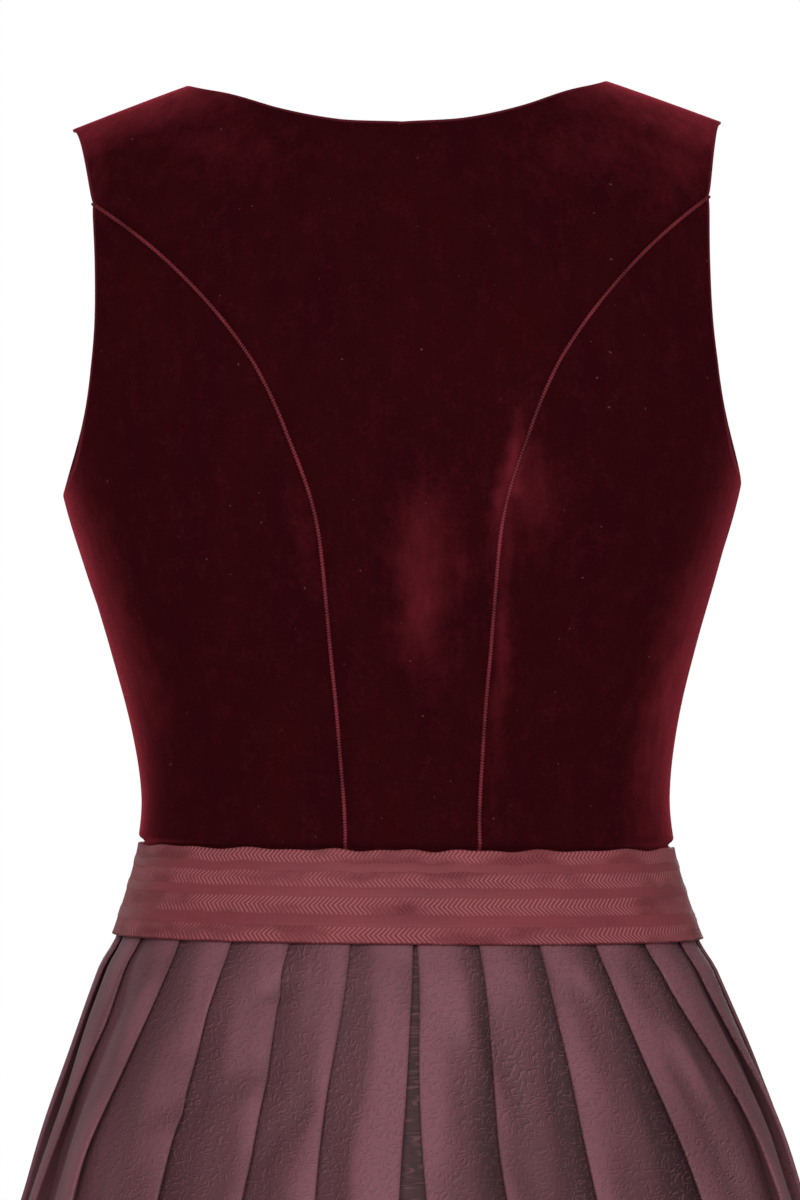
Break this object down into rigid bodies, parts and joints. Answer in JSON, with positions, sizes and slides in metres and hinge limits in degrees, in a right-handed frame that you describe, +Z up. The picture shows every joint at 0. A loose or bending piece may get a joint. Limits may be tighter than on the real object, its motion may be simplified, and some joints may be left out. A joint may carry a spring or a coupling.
{
  "type": "dirndl dress",
  "caption": "Sleeveless velvet dirndl bodice with corded seams, joined at a woven waist band to a knife-pleated jacquard midi skirt; keeps its hollow worn form",
  "frame": {"origin": "Midway between the two straps, at the height where they rest on the wearer's shoulders; the wearer holds the dress up there", "axes": "+Z up, -Y the dress's front, +X the wearer's left"},
  "size_m": [0.5817, 0.5307, 1.132],
  "materials": {
    "velvet": "dark wine-red cotton velvet, short pile",
    "cord": "twisted red cord, slight lustre",
    "band": "woven satin band with herringbone stripes",
    "jacquard": "mauve jacquard with a tonal scroll pattern, soft sheen"
  },
  "bodies": {
    "root": {"bodice_back_centre": "velvet", "bodice_back_side_left": "velvet", "bodice_back_side_right": "velvet", "bodice_front_side_left": "velvet", "bodice_front_side_right": "velvet", "bodice_front_centre_left": "velvet", "bodice_front_centre_right": "velvet", "seam_cord_back_left": "cord", "seam_cord_back_right": "cord", "seam_cord_front_left": "cord", "seam_cord_front_right": "cord", "waist_band": "band", "skirt_back": "jacquard", "skirt_front": "jacquard"}
  },
  "joints": []
}
